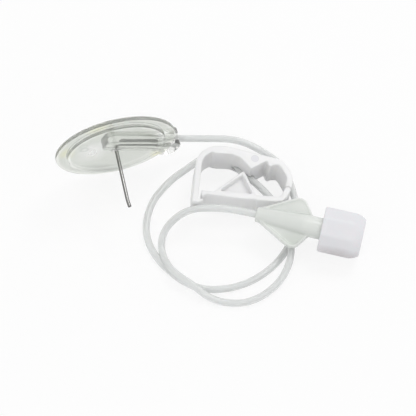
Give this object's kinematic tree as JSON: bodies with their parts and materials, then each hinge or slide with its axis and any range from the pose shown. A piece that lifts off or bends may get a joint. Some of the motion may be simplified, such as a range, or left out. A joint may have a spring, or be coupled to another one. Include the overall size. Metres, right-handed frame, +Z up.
{
  "type": "huber needle",
  "caption": "Right-angle port access needle in a clear grip plate, with a coiled extension tube, a pinch clamp and a capped winged luer end.",
  "frame": {"origin": "on the surface it lies on, under the middle of the box round the needle, its plate, hub and glue bead", "axes": "+X from the needle's plate towards the capped end, +Y away from the viewer, +Z up from the surface"},
  "size_m": [0.0951, 0.0589, 0.0388],
  "materials": {
    "plate_pvc": "clear, slightly frosted",
    "hub_pvc": "clear gloss",
    "needle_steel": "polished stainless",
    "adhesive": "cured clear",
    "tube_pvc": "clear flexible",
    "clamp_plastic": "moulded white",
    "luer_plastic": "translucent satin",
    "cap_plastic": "moulded white"
  },
  "bodies": {
    "needle_set": {"needle_cannula": "needle_steel", "base_plate": "plate_pvc", "needle_hub": "hub_pvc", "adhesive_bead": "adhesive", "tubing": "tube_pvc", "clamp_frame": "clamp_plastic", "luer_connector": "luer_plastic"},
    "squeeze_arm": {"clamp_arm": "clamp_plastic"},
    "end_cap": {"luer_cap": "cap_plastic"}
  },
  "joints": [
    {"name": "clamp_squeeze", "type": "hinge", "parent": "needle_set", "child": "squeeze_arm", "pos_m": [0.05082, -0.00475, 0.00494], "axis": [-0.1045, 0, -0.9945], "range_deg": [0, 7.5], "deforming": ["tubing"]},
    {"name": "cap_travel", "type": "slide", "parent": "needle_set", "child": "end_cap", "axis": [0.9751, -0.2055, -0.0837], "range_m": [0, 0.014]}
  ]
}
